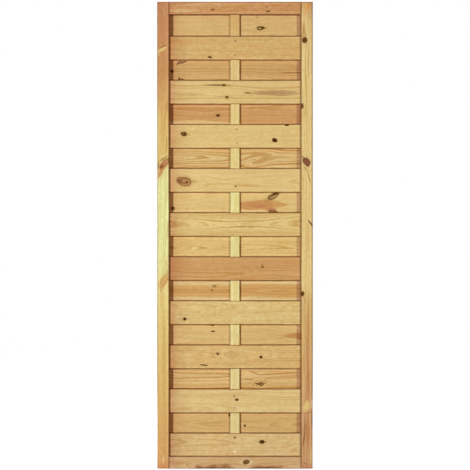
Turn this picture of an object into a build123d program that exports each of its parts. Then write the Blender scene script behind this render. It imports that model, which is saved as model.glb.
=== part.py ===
from build123d import *

import math
import os

# Privacy fence panel: two layers of horizontal softwood slats, held in a grooved frame.
# The front looks towards -Y, X runs along the panel and Z goes up. The origin is the middle
# of the panel's bottom edge, at half its depth. All sizes are in millimetres.

# Frame: two stiles run the full height, and two rails fit between them
PANEL_WIDTH = 600.0
PANEL_HEIGHT = 1800.0
FRAME_DEPTH = 45.0
STILE_FACE = 45.0
TOP_RAIL_FACE = 49.5
BOTTOM_RAIL_FACE = 47.5
FRAME_EDGE_ROUND = 2.5
WORN_CORNER_ROUND = 8.0
GROOVE_DEPTH = 12.0
TENON_PLAY = 0.25
TENON_END_GAP = 0.5

# Slats: a back layer and a front layer, in turn from the top, each lapping over its neighbours
SLAT_HEIGHT = 92.5
SLAT_THICKNESS = 7.0
SLAT_EDGE_ROUND = 3.0
SLAT_INNER_EASE = 0.6
SLAT_LEAST_LAP = 6.0
SLAT_RAIL_SEAT = 3.0
SLAT_END_GAP = 1.0
SLAT_FACE_PLAY = 0.25

# Battens: upright laths that keep the two layers apart, one on show and one in each stile's groove
BATTEN_WIDTH = 35.0
BATTEN_THICKNESS = 9.0
BATTEN_END_GAP = 0.5
BATTEN_EDGE_EASE = 0.6

# Staples: two through each slat into the middle batten, with their crowns along the slat
STAPLE_CROWN = 6.0
STAPLE_WIRE_WIDTH = 1.2
STAPLE_WIRE_THICKNESS = 1.0
STAPLE_POINT = 1.5
STAPLE_POINT_COVER = 2.0
STAPLE_SINK = 0.2
STAPLE_FROM_EDGE = 20.0

# Screws: one through each stile into the end of each rail
SCREW_DIAMETER = 5.0
SCREW_HEAD_DIAMETER = 9.5
SCREW_LENGTH = 70.0
SCREW_POINT = 7.0
SCREW_SINK = 0.5

# Gap all round a fastener in its hole
FASTENER_PLAY = 0.05

# A round stays within this share of the wall that it is on
MOST_ROUND = 0.45

# Sizes that follow from those above
layer_centre = (BATTEN_THICKNESS + SLAT_THICKNESS) / 2
slat_face = BATTEN_THICKNESS / 2 + SLAT_THICKNESS
groove_width = 2 * (slat_face + SLAT_FACE_PLAY)
groove_lip = (FRAME_DEPTH - groove_width) / 2
frame_edge_round = min(FRAME_EDGE_ROUND, MOST_ROUND * groove_lip)
slat_edge_round = min(SLAT_EDGE_ROUND, MOST_ROUND * SLAT_THICKNESS)

opening_width = PANEL_WIDTH - 2 * STILE_FACE
opening_bottom = BOTTOM_RAIL_FACE
opening_top = PANEL_HEIGHT - TOP_RAIL_FACE
slat_length = opening_width + 2 * (GROOVE_DEPTH - SLAT_END_GAP)
batten_bottom = opening_bottom - GROOVE_DEPTH + BATTEN_END_GAP
batten_top = opening_top + GROOVE_DEPTH - BATTEN_END_GAP

# The slats fill the opening in pairs, so the top one is in the back layer and the lowest in front
stack_height = opening_top - opening_bottom + 2 * SLAT_RAIL_SEAT
most_step = SLAT_HEIGHT - SLAT_LEAST_LAP
slat_pairs = math.ceil(((stack_height - SLAT_HEIGHT) / most_step + 1) / 2)
slat_step = (stack_height - SLAT_HEIGHT) / (2 * slat_pairs - 1)
top_slat_middle = opening_top + SLAT_RAIL_SEAT - SLAT_HEIGHT / 2

staple_length = SLAT_THICKNESS + BATTEN_THICKNESS - STAPLE_POINT_COVER - STAPLE_SINK
staple_rise = SLAT_HEIGHT / 2 - STAPLE_FROM_EDGE


def frame_section(face):
    """A bar with rounded edges and a groove along one side, which lies on X = 0 and looks to +X."""
    bar = Pos(-face / 2, 0) * Rectangle(face, FRAME_DEPTH)
    bar = fillet(bar.vertices(), frame_edge_round)
    return bar - Rectangle(2 * GROOVE_DEPTH, groove_width)


def screw():
    """A countersunk screw along +Z, with the top of its head at Z = 0."""
    head = SCREW_HEAD_DIAMETER / 2
    shank = SCREW_DIAMETER / 2
    shank_end = SCREW_LENGTH - SCREW_POINT
    profile = Polyline(
        (0, 0), (head, 0), (shank, head - shank), (shank, shank_end), (0, SCREW_LENGTH), close=True
    )
    return revolve(Plane.XZ * make_face(profile), Axis.Z)


def screw_hole():
    """The countersunk hole for a screw, drilled from SCREW_SINK above its head to just past its point."""
    head = SCREW_HEAD_DIAMETER / 2 + FASTENER_PLAY
    shank = SCREW_DIAMETER / 2 + FASTENER_PLAY
    mouth = -SCREW_SINK
    end = SCREW_LENGTH + FASTENER_PLAY
    profile = Polyline(
        (0, mouth), (head, mouth), (head, 0), (shank, head - shank), (shank, end), (0, end), close=True
    )
    return revolve(Plane.XZ * make_face(profile), Axis.Z)


def screw_places():
    """Where the four screws start, each with the way that it is driven: through the tenons' middles."""
    heights = (
        (BOTTOM_RAIL_FACE - GROOVE_DEPTH) / 2,
        PANEL_HEIGHT - (TOP_RAIL_FACE - GROOVE_DEPTH) / 2,
    )
    start = PANEL_WIDTH / 2 - SCREW_SINK
    return [
        Plane((-side * start, 0, height), x_dir=(0, 1, 0), z_dir=(side, 0, 0))
        for side in (1, -1)
        for height in heights
    ]


def frame_screws():
    """The four corner screws."""
    return [place * screw() for place in screw_places()]


def screw_holes():
    """The holes that the corner screws fill."""
    return [place * screw_hole() for place in screw_places()]


def stile(side):
    """An upright of the frame on the left (-1) or the right (1), with its groove facing inwards."""
    bar = Pos(-opening_width / 2, 0, 0) * extrude(frame_section(STILE_FACE), PANEL_HEIGHT)
    if side > 0:
        bar = mirror(bar, Plane.YZ)
        corner = bar.edges().filter_by(Axis.Y).sort_by(Axis.Z)[-2:].sort_by(Axis.X)[-1]
        bar = fillet(corner, min(WORN_CORNER_ROUND, MOST_ROUND * STILE_FACE))
    return bar - screw_holes()


def rail(face, outer, inward):
    """A cross bar of the frame, grooved towards the slats, with a stub tenon at each end.

    outer is the height of its outer side, and inward is 1 if its groove looks up and -1 if down.
    """
    start = Plane(
        (-opening_width / 2, 0, outer + inward * face), x_dir=(0, 0, inward), z_dir=(1, 0, 0)
    )
    bar = start * extrude(frame_section(face), opening_width)
    tenon_height = face - GROOVE_DEPTH
    tenons = Pos(0, 0, outer + inward * tenon_height / 2) * Box(
        opening_width + 2 * (GROOVE_DEPTH - TENON_END_GAP),
        groove_width - 2 * TENON_PLAY,
        tenon_height,
    )
    return bar + tenons - screw_holes()


def batten(width, middle):
    """An upright lath between the two layers of slats, centred at X = middle."""
    section = Rectangle(width, BATTEN_THICKNESS)
    section = chamfer(section.vertices(), BATTEN_EDGE_EASE)
    return Pos(middle, 0, batten_bottom) * extrude(section, batten_top - batten_bottom)


def end_batten(side):
    """The lath that fills the gap between the slats' ends in one stile's groove."""
    middle = (opening_width + GROOVE_DEPTH) / 2
    return batten(GROOVE_DEPTH - 2 * SLAT_END_GAP, side * middle)


def staple(play=0.0):
    """A staple with its crown along X, driven towards +Y from Y = 0. With play it is the hole."""
    half = STAPLE_CROWN / 2 + play
    inside = STAPLE_CROWN / 2 - STAPLE_WIRE_THICKNESS - play
    above = STAPLE_SINK if play else 0.0
    under_crown = STAPLE_WIRE_THICKNESS + play
    tip = staple_length + play * (1 + STAPLE_POINT / STAPLE_WIRE_THICKNESS)
    profile = make_face(
        Polyline(
            (-half, -above),
            (half, -above),
            (half, tip),
            (inside, tip - STAPLE_POINT),
            (inside, under_crown),
            (-inside, under_crown),
            (-inside, tip - STAPLE_POINT),
            (-half, tip),
            close=True,
        )
    )
    return extrude(profile, STAPLE_WIRE_WIDTH / 2 + play, both=True)


def layer_staples(layer, play=0.0):
    """Every staple of the front (-1) or the back (1) layer, or their holes."""
    crown = layer * (slat_face - STAPLE_SINK)
    face = Plane((0, crown, 0), x_dir=(1, 0, 0), z_dir=(0, 0, -layer))
    return [
        Pos(0, 0, height + rise) * (face * staple(play))
        for height in slat_heights(layer)
        for rise in (-staple_rise, staple_rise)
    ]


def slat_heights(layer):
    """The middle of each slat of the front (-1) or the back (1) layer, from the top down."""
    first = 0 if layer > 0 else 1
    return [top_slat_middle - (2 * pair + first) * slat_step for pair in range(slat_pairs)]


def slat(layer, height):
    """One planed board: its outer edges are rounded, and those towards the battens only eased."""
    section = Rectangle(SLAT_THICKNESS, SLAT_HEIGHT)
    corners = section.vertices().sort_by(Axis.X)
    section = fillet(corners[2:], slat_edge_round)
    corners = section.vertices().sort_by(Axis.X)
    section = chamfer(corners[:2], SLAT_INNER_EASE)
    end = Plane(
        (-layer * slat_length / 2, layer * layer_centre, height),
        x_dir=(0, layer, 0),
        z_dir=(layer, 0, 0),
    )
    return end * extrude(section, slat_length)


def build():
    """Every piece of the panel, by its node's name."""
    pieces = {
        "left_stile": stile(-1),
        "right_stile": stile(1),
        "top_rail": rail(TOP_RAIL_FACE, PANEL_HEIGHT, -1),
        "bottom_rail": rail(BOTTOM_RAIL_FACE, 0.0, 1),
        "frame_screws": Compound(frame_screws()),
        "left_end_batten": end_batten(-1),
        "right_end_batten": end_batten(1),
    }
    middle = batten(BATTEN_WIDTH, 0.0)
    for name, layer in (("front", -1), ("back", 1)):
        holes = layer_staples(layer, FASTENER_PLAY)
        middle = middle - holes
        pieces[f"{name}_staples"] = Compound(layer_staples(layer))
        for row, height in enumerate(slat_heights(layer)):
            pair = holes[2 * row : 2 * row + 2]
            pieces[f"{name}_slat_{row + 1:02d}"] = slat(layer, height) - pair
    pieces["centre_batten"] = middle
    return pieces


os.makedirs("parts", exist_ok=True)
for node, shape in build().items():
    export_step(shape, f"parts/{node}.step")
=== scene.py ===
import math
from collections import namedtuple

import bpy
from mathutils import Euler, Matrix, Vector


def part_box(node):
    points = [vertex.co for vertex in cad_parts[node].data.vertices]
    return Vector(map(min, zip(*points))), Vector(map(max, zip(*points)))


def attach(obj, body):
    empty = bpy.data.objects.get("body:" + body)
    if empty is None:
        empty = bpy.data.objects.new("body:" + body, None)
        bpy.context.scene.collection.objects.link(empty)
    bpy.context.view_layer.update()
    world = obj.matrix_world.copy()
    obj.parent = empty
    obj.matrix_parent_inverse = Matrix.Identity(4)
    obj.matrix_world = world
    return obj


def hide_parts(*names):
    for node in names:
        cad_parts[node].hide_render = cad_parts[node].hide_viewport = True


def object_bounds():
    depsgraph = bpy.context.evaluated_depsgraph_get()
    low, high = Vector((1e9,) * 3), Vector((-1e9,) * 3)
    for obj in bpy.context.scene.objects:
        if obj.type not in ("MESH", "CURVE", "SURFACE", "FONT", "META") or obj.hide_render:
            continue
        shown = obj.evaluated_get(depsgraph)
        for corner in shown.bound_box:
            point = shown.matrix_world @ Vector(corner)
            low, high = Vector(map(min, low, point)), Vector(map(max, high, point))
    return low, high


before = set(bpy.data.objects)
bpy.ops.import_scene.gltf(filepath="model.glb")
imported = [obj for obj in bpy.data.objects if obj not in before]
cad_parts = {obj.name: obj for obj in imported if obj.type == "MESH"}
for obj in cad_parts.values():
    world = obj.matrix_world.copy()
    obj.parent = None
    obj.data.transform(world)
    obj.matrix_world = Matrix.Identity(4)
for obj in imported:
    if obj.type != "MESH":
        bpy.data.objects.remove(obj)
cad_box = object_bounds()


# Left stile
# An upright bar of planed softwood with eased edges and a groove down its inner side. Slanting branches
# cross it at two heights, and its colour drifts from pink at the top to pale yellow in the middle.
MM = 0.001
# Turns that lay a board's length along X, its width along Y and its thickness along Z.
ALONG_X = (math.radians(-90), 0, 0)
ALONG_Z = (math.radians(90), 0, math.radians(90))
# How far the pith lies from a board's middle, across it and through it, how wide the growth rings about it
# are, and how they slope, bow and wander.
Rings = namedtuple("Rings", "across depth width run_out bow wander", defaults=(4, 0.03, 0.0, 1.0))
# A branch cut through: its middle, half sizes and tilt, how dark it is and how pale inside, how far it bends
# the grain, its tone, and how strongly its own rings show.
Knot = namedtuple(
    "Knot", "along up length height tilt dark pale bend tone years",
    defaults=(0, 0.8, 0.2, 1.0, "8A5520", 0.12),
)
# A streak: its middle and half sizes, how much it thins towards its far end, its strength, tone and tilt,
# how sharp its ends are, and how softly it fades.
Stain = namedtuple(
    "Stain", "along up length height point strength tone tilt sharp soft",
    defaults=(0.0, 0.5, "8A5A2C", 0, 1.0, 0.25),
)
# Where a board's faces end, in metres from its middle. A bar of the frame is the same on both sides, and no
# batten lies against it.
Edges = namedtuple(
    "Edges", "inner_low inner_high end outward outer_low outer_high batten", defaults=(0, 0.0, 0.0, -1.0)
)


def linear(code):
    """A colour written as six hex digits, in the linear values that shaders work with."""
    shares = [int(code[place:place + 2], 16) / 255 for place in (0, 2, 4)]
    return [s / 12.92 if s <= 0.04045 else ((s + 0.055) / 1.055) ** 2.4 for s in shares] + [1.0]


def put(tree, kind, feeds=(), **settings):
    """Adds one node to a tree. Its inputs, in order or by name, are linked to sockets or set to values."""
    node = tree.nodes.new(kind)
    for name, value in settings.items():
        setattr(node, name, value)
    for key, source in feeds.items() if isinstance(feeds, dict) else enumerate(feeds):
        if isinstance(source, bpy.types.NodeSocket):
            tree.links.new(source, node.inputs[key])
        else:
            node.inputs[key].default_value = source
    return node


def calc(tree, operation, *values):
    """The result of one Math node."""
    return put(tree, "ShaderNodeMath", values, operation=operation).outputs[0]


def ease(tree, value, low, high):
    """Rises smoothly from 0 where the value is low to 1 where it is high."""
    feeds = {"Value": value, "From Min": low, "From Max": high}
    return put(tree, "ShaderNodeMapRange", feeds, interpolation_type="SMOOTHSTEP").outputs["Result"]


def times(tree, first, second):
    """Two numbers multiplied."""
    return calc(tree, "MULTIPLY", first, second)


def rest(tree, share):
    """What a share leaves of a whole."""
    return calc(tree, "SUBTRACT", 1.0, share)


def fall(tree, value, low, high):
    """Falls smoothly from 1 where the value is low to 0 where it is high."""
    return rest(tree, ease(tree, value, low, high))


def swing(tree, noise, reach, middle):
    """A number that noise moves up and down about its middle, by the given reach from lowest to highest."""
    return calc(tree, "MULTIPLY_ADD", calc(tree, "SUBTRACT", noise, 0.5), reach, middle)


def blend(tree, share, first, second, mode="MIX"):
    """Two colours mixed by a share of the second, or the first tinted by it."""
    feeds = {0: share, 6: first, 7: second}
    return put(tree, "ShaderNodeMix", feeds, data_type="RGBA", blend_type=mode).outputs[2]


def parts(tree, vector):
    """The X, Y and Z of a vector."""
    return put(tree, "ShaderNodeSeparateXYZ", [vector]).outputs


def joined(tree, x=0.0, y=0.0, z=0.0):
    """A vector from its X, Y and Z."""
    return put(tree, "ShaderNodeCombineXYZ", (x, y, z)).outputs[0]


def stretched_noise(tree, board, along, across, seed, detail=2.0):
    """Noise drawn out along the board: the scales are in features per metre."""
    feeds = (board, (along, across, across))
    scaled = put(tree, "ShaderNodeVectorMath", feeds, operation="MULTIPLY").outputs[0]
    feeds = {"Vector": scaled, "W": seed, "Scale": 1.0, "Detail": detail}
    return put(tree, "ShaderNodeTexNoise", feeds, noise_dimensions="4D").outputs["Fac"]


def group(kind, name, inputs, outputs):
    """An empty node group and its two ends. A socket holds a number, or what its label has after a colon."""
    tree = bpy.data.node_groups.new(name, kind)
    for side, labels in (("INPUT", inputs), ("OUTPUT", outputs)):
        for label in labels:
            word, _, holds = label.partition(":")
            tree.interface.new_socket(word, in_out=side, socket_type="NodeSocket" + (holds or "Float"))
    return tree, tree.nodes.new("NodeGroupInput").outputs, tree.nodes.new("NodeGroupOutput").inputs


def slanted(tree, given):
    """Places measured from a mark's middle: along its tilted line, across it, and in from the front."""
    place = parts(tree, given["Board"])
    right = calc(tree, "SUBTRACT", place["X"], given["Along"])
    up = calc(tree, "SUBTRACT", place["Y"], given["Across"])
    cosine = calc(tree, "COSINE", given["Tilt"])
    sine = calc(tree, "SINE", given["Tilt"])
    lengthwise = calc(tree, "MULTIPLY_ADD", right, cosine, times(tree, up, sine))
    crosswise = calc(tree, "SUBTRACT", times(tree, up, cosine), times(tree, right, sine))
    inwards = calc(tree, "ABSOLUTE", calc(tree, "SUBTRACT", place["Z"], given["Front"]))
    return lengthwise, crosswise, inwards


# Shares of a mark's half size: how raggedly its outline wanders, between what bounds a knot's pale inside,
# its rim and the halo round it fade, and how softly the grain parts at its middle.
RAGGED = 0.6
KNOT_INSIDE = (0.5, 0.86)
KNOT_RIM = (0.8, 1.06)
KNOT_HALO = (0.85, 1.6)
KNOT_PARTING = 0.4
KNOT_TAPER = 0.5
KNOT_RING_RADIANS = 17.0
KNOT_DARK = "4A2900"
BROWN_STRENGTH = 0.9
BROWN_GAIN = 2.2
HALO_STRENGTH = 0.3
BEND_FADE = -0.16


def knot_group():
    """A branch that tapers into the board: a ragged, ringed oval, and the grain pushed aside by it."""
    tree, given, result = group(
        "ShaderNodeTree", "knot",
        ["Board:Vector", "Grain:Vector", "Front", "Along", "Across", "Length", "Height", "Tilt", "Darkness",
         "Paleness", "Bend", "Years"],
        ["Grain:Vector", "Brown", "Dark"],
    )
    lengthwise, crosswise, inwards = slanted(tree, given)
    u = calc(tree, "DIVIDE", lengthwise, given["Length"])
    v = calc(tree, "DIVIDE", crosswise, given["Height"])
    w = calc(tree, "DIVIDE", times(tree, inwards, KNOT_TAPER), given["Length"])
    squares = calc(tree, "MULTIPLY_ADD", u, u, times(tree, v, v))
    squares = calc(tree, "MULTIPLY_ADD", w, w, squares)
    own_slice = times(tree, given["Along"], 60.0)
    oval = joined(tree, u, v, own_slice)
    ragged = put(tree, "ShaderNodeTexNoise", {"Vector": oval, "Scale": 1.3, "Detail": 3.0}).outputs["Fac"]
    reach = swing(tree, ragged, RAGGED, calc(tree, "SQRT", squares))
    inside = fall(tree, reach, *KNOT_RIM)
    wave = calc(tree, "SINE", times(tree, reach, KNOT_RING_RADIANS))
    years = times(tree, calc(tree, "MULTIPLY_ADD", wave, 0.5, 0.5), given["Years"])
    ringed = calc(tree, "MAXIMUM", ease(tree, reach, *KNOT_INSIDE), years)
    hollow = times(tree, given["Paleness"], rest(tree, ringed))
    dark = times(tree, times(tree, inside, rest(tree, hollow)), given["Darkness"])
    halo = times(tree, fall(tree, reach, *KNOT_HALO), HALO_STRENGTH)
    brown = calc(tree, "MAXIMUM", times(tree, inside, BROWN_STRENGTH), halo)
    fullness = calc(tree, "MINIMUM", times(tree, given["Darkness"], BROWN_GAIN), 1.0)
    brown = times(tree, brown, fullness)
    fade = calc(tree, "EXPONENT", times(tree, squares, BEND_FADE))
    side = calc(tree, "DIVIDE", v, calc(tree, "ADD", calc(tree, "ABSOLUTE", v), KNOT_PARTING))
    push = times(tree, times(tree, side, fade), given["Height"])
    grain = parts(tree, given["Grain"])
    shifted = calc(tree, "SUBTRACT", grain["Y"], times(tree, push, given["Bend"]))
    moved = joined(tree, grain["X"], shifted, grain["Z"])
    tree.links.new(moved, result["Grain"])
    tree.links.new(brown, result["Brown"])
    tree.links.new(dark, result["Dark"])
    return tree


# How deep a stain goes, in half heights of its own, and how it sets in at its sides and its ends.
STAIN_DEPTH = (2.0, 6.0)
STAIN_SIDE = -0.05
STAIN_END = (0.0, 0.06)


def stain_group():
    """A streak of resin, bark or heartwood: a lens along the grain, pointed at one end or both."""
    tree, given, result = group(
        "ShaderNodeTree", "stain",
        ["Board:Vector", "Front", "Along", "Across", "Length", "Height", "Tilt", "Point", "Strength",
         "Sharp", "Soft"],
        ["Stain"],
    )
    lengthwise, crosswise, inwards = slanted(tree, given)
    u = calc(tree, "DIVIDE", lengthwise, given["Length"])
    v = calc(tree, "DIVIDE", crosswise, given["Height"])
    lens = calc(tree, "MAXIMUM", rest(tree, times(tree, u, u)), 0.0)
    lens = calc(tree, "POWER", lens, given["Sharp"])
    taper = rest(tree, times(tree, u, given["Point"]))
    within = calc(tree, "SUBTRACT", times(tree, lens, taper), calc(tree, "ABSOLUTE", v))
    ragged = stretched_noise(tree, given["Board"], 25.0, 260.0, given["Along"])
    within = swing(tree, ragged, RAGGED, within)
    mask = times(tree, ease(tree, within, STAIN_SIDE, given["Soft"]), ease(tree, lens, *STAIN_END))
    near, far = (times(tree, given["Height"], share) for share in STAIN_DEPTH)
    mask = times(tree, mask, fall(tree, inwards, near, far))
    tree.links.new(times(tree, mask, given["Strength"]), result["Stain"])
    return tree


# Tints of the late wood, the blotches and the flecks, and the shares of a year or of the noise between which
# they set in. The warmth is the power of the light in red, green and blue that makes darker wood redder, and
# the sways and ripples are how far the rings stray from true.
LATE_WOOD = (0.65, 0.42, 0.16, 1.0)
LATE_SEASON = (0.3, 0.9)
NEXT_SPRING = (0.9, 1.0)
GOOD_YEARS = (0.35, 0.65)
BLOTCH = (1.0, 0.84, 0.70, 1.0)
BLOTCH_BOUNDS = (0.45, 0.75)
FLECK = (0.55, 0.38, 0.24, 1.0)
FLECK_BOUNDS = (0.64, 0.74)
FLECK_STRENGTH = 0.22
WARMTH = (0.75, 1.35, 2.4)
PITH_SWAY = 40.0 * MM
PITH_SINK = 36.0 * MM
RING_RIPPLE = 2.4 * MM
HEART_RIPPLE = 12.0 * MM
HEART_FADE = 3.0 * MM
WOOD_ROUGHNESS = 0.64


def pine_group():
    """Softwood in the round: growth rings about a wandering pith, cut by whatever faces the board has."""
    tree, given, result = group(
        "ShaderNodeTree", "pine",
        ["Grain:Vector", "Seed", "Pith Across", "Pith Depth", "Ring Width", "Run Out", "Bow", "Wander",
         "Lines", "Mottle", "Sapwood:Color", "Heartwood:Color", "Heart Radius"],
        ["Color:Color", "Height", "Roughness"],
    )
    grain, wander = given["Grain"], given["Wander"]

    def noise(along, across, detail, shift=0.0):
        """Noise in the grain, with a seed of its own."""
        return stretched_noise(tree, grain, along, across, calc(tree, "ADD", given["Seed"], shift), detail)

    place = parts(tree, grain)
    along = place["X"]
    across = calc(tree, "SUBTRACT", place["Y"], given["Pith Across"])
    across = swing(tree, noise(2.6, 3.0, 1.0), times(tree, wander, PITH_SWAY), across)
    depth = calc(tree, "ADD", place["Z"], given["Pith Depth"])
    depth = calc(tree, "MULTIPLY_ADD", along, given["Run Out"], depth)
    depth = calc(tree, "MULTIPLY_ADD", times(tree, along, along), given["Bow"], depth)
    depth = swing(tree, noise(2.2, 3.0, 1.0, 11.3), times(tree, wander, PITH_SINK), depth)
    radius = calc(tree, "SQRT", calc(tree, "MULTIPLY_ADD", across, across, times(tree, depth, depth)))
    radius = swing(tree, noise(14.0, 90.0, 3.0, 5.1), RING_RIPPLE, radius)
    years = calc(tree, "DIVIDE", radius, given["Ring Width"])
    feeds = {"W": calc(tree, "MULTIPLY_ADD", years, 0.45, given["Seed"]), "Scale": 1.0}
    growth = put(tree, "ShaderNodeTexNoise", feeds, noise_dimensions="1D").outputs["Fac"]
    season = calc(tree, "FRACT", calc(tree, "MULTIPLY_ADD", growth, 1.6, years))
    late = times(tree, ease(tree, season, *LATE_SEASON), fall(tree, season, *NEXT_SPRING))
    good_year = calc(tree, "MULTIPLY_ADD", ease(tree, growth, *GOOD_YEARS), 0.9, 0.35)
    late = times(tree, times(tree, late, good_year), given["Lines"])
    streak = noise(4.0, 120.0, 3.0, 23.7)
    mottle = noise(9.0, 22.0, 2.0, 37.9)
    dapple = noise(65.0, 130.0, 3.0, 71.7)
    fibre = noise(60.0, 1500.0, 2.0)
    heart_edge = swing(tree, streak, HEART_RIPPLE, given["Heart Radius"])
    heart = ease(tree, calc(tree, "SUBTRACT", heart_edge, radius), -HEART_FADE, HEART_FADE)
    colour = blend(tree, heart, given["Sapwood"], given["Heartwood"])
    blotch = times(tree, ease(tree, mottle, *BLOTCH_BOUNDS), given["Mottle"])
    fleck = ease(tree, noise(70.0, 700.0, 1.0, 51.3), *FLECK_BOUNDS)
    fleck = times(tree, fleck, FLECK_STRENGTH)
    for share, tint in ((late, LATE_WOOD), (blotch, BLOTCH), (fleck, FLECK)):
        colour = blend(tree, share, colour, tint, "MULTIPLY")
    light = 1.0
    for unevenness, reach in ((streak, 0.26), (mottle, 0.16), (dapple, given["Mottle"]), (fibre, 0.16)):
        light = swing(tree, unevenness, reach, light)
    warmth = [calc(tree, "POWER", light, power) for power in WARMTH]
    warm_light = put(tree, "ShaderNodeCombineColor", warmth).outputs[0]
    tree.links.new(blend(tree, 1.0, colour, warm_light, "MULTIPLY"), result["Color"])
    ridge = calc(tree, "MULTIPLY_ADD", fibre, 0.6, times(tree, late, 0.5))
    tree.links.new(ridge, result["Height"])
    tree.links.new(swing(tree, fibre, 0.16, WOOD_ROUGHNESS), result["Roughness"])
    return tree


# Painted shade and a painted highlight for the edges and ends of boards, where neighbours, stiles and the
# batten
# shade them: their tints, and the distances past an edge, an end or the batten between which each sets in or
# fades.
PAINTED_SHADE = (0.30, 0.19, 0.14, 1.0)
PAINTED_SHADE_LINE = (-4.6 * MM, -1.4 * MM)
PAINTED_SHADE_END = (-7.0 * MM, -1.5 * MM)
PAINTED_SHADE_CORNER = (2.0 * MM, 11.0 * MM)
PAINTED_EDGE_HIGHLIGHT = (1.07, 1.07, 1.1, 1.0)
PAINTED_HIGHLIGHT_LINE = (-10.5 * MM, -6.5 * MM)
PAINTED_END_SHADE = (0.93, 0.78, 0.84, 1.0)
PAINTED_END_SHADE_LEFT = (-40.0 * MM, 0.0)
PAINTED_END_SHADE_RIGHT = (-20.0 * MM, -13.0 * MM)
PAINTED_LEFT_SHADE = (0.85, 0.76, 0.75, 1.0)
PAINTED_LEFT_SHADE_REACH = (-100.0 * MM, -10.0 * MM)
EDGE_RAGGED = 3.0 * MM
BAR_END_SHADE = 0.65
LEFT_END_SHADE = 0.45
RIGHT_END_SHADE = 0.9
CORNER_SHADE = 0.45


def edge_group():
    """Painted shade: dark lines along a board's edges and against its neighbours and the batten, a painted
    highlight just inside them, and darker, pinker ends.
    """
    tree, given, result = group(
        "ShaderNodeTree", "painted_edge_shade",
        ["Board:Vector", "Outward", "Outer Low", "Outer High", "Inner Low", "Inner High", "End", "Batten"],
        ["Shade", "Pale", "Blush", "Tan"],
    )
    place = parts(tree, given["Board"])
    is_slat = calc(tree, "ABSOLUTE", given["Outward"])
    outer = calc(tree, "GREATER_THAN", times(tree, place["Z"], given["Outward"]), 0.0)
    inner = rest(tree, outer)
    limits = []
    for word in ("Low", "High"):
        change = calc(tree, "SUBTRACT", given["Outer " + word], given["Inner " + word])
        limits.append(calc(tree, "MULTIPLY_ADD", outer, change, given["Inner " + word]))
    below = calc(tree, "SUBTRACT", limits[0], place["Y"])
    above = calc(tree, "SUBTRACT", place["Y"], limits[1])
    ragged = stretched_noise(tree, given["Board"], 30.0, 120.0, 4.2)
    past_edge = swing(tree, ragged, EDGE_RAGGED, calc(tree, "MAXIMUM", below, above))
    past_left = calc(tree, "SUBTRACT", times(tree, place["X"], -1.0), given["End"])
    past_right = calc(tree, "SUBTRACT", place["X"], given["End"])
    past_batten = calc(tree, "SUBTRACT", calc(tree, "ABSOLUTE", place["X"]), given["Batten"])
    # Painted shade: the dark lines along the edges, at the ends and beside the batten stand for cast shadow
    # and shaded rounded edges.
    shade = ease(tree, past_edge, *PAINTED_SHADE_LINE)
    for past, slat_shade in ((past_left, LEFT_END_SHADE), (past_right, RIGHT_END_SHADE)):
        darkness = calc(tree, "MULTIPLY_ADD", is_slat, slat_shade - BAR_END_SHADE, BAR_END_SHADE)
        shade = calc(tree, "MAXIMUM", shade, times(tree, ease(tree, past, *PAINTED_SHADE_END), darkness))
    corner = times(tree, fall(tree, past_batten, *PAINTED_SHADE_CORNER), inner)
    shade = calc(tree, "MAXIMUM", shade, times(tree, corner, CORNER_SHADE))
    tree.links.new(shade, result["Shade"])
    # Painted highlight: a paler band just inside each dark edge line.
    tree.links.new(ease(tree, past_edge, *PAINTED_HIGHLIGHT_LINE), result["Pale"])
    # Painted shade at the ends: pinker and darker at the left end, and at the right end of a slat's inner
    # face, where the right stile shades it from the weaker light.
    right_end_shade = times(tree, ease(tree, past_right, *PAINTED_END_SHADE_RIGHT), times(tree, inner, is_slat))
    end_shade = calc(tree, "MAXIMUM", ease(tree, past_left, *PAINTED_END_SHADE_LEFT), right_end_shade)
    tree.links.new(end_shade, result["Blush"])
    # Painted shade: a slat darkens and turns pinker over its last 100 mm at the left, where the left stile
    # keeps light off it.
    left_shade = times(tree, ease(tree, past_left, *PAINTED_LEFT_SHADE_REACH), is_slat)
    left_shade = times(tree, left_shade, calc(tree, "MULTIPLY_ADD", outer, 0.3, 0.6))
    tree.links.new(left_shade, result["Tan"])
    return tree


knot_nodes = knot_group()
stain_nodes = stain_group()
pine_nodes = pine_group()
edge_nodes = edge_group()


def drifting(tree, board, tones, slant):
    """A colour that changes along the board, by pairs of a place in millimetres and the colour there."""
    first, last = tones[0][0], tones[-1][0]
    place = parts(tree, board)
    spot = calc(tree, "MULTIPLY_ADD", place["Y"], slant, place["X"])
    feeds = {"Value": spot, "From Min": first * MM, "From Max": last * MM}
    ramp = put(tree, "ShaderNodeValToRGB", [put(tree, "ShaderNodeMapRange", feeds).outputs[0]])
    stops = ramp.color_ramp.elements
    while len(stops) < len(tones):
        stops.new(1.0)
    for stop, (along, code) in zip(stops, tones):
        stop.position = (along - first) / (last - first)
        stop.color = linear(code)
    return ramp.outputs["Color"]


def placed(mark, board, front):
    """The inputs that every mark on a board has: its place, half sizes and tilt."""
    return {
        "Board": board, "Front": front, "Along": mark.along * MM, "Across": mark.up * MM,
        "Length": mark.length * MM, "Height": mark.height * MM, "Tilt": math.radians(mark.tilt),
    }


WOOD_GLOSS = 0.08
GRAIN_RELIEF = 0.4 * MM


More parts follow.
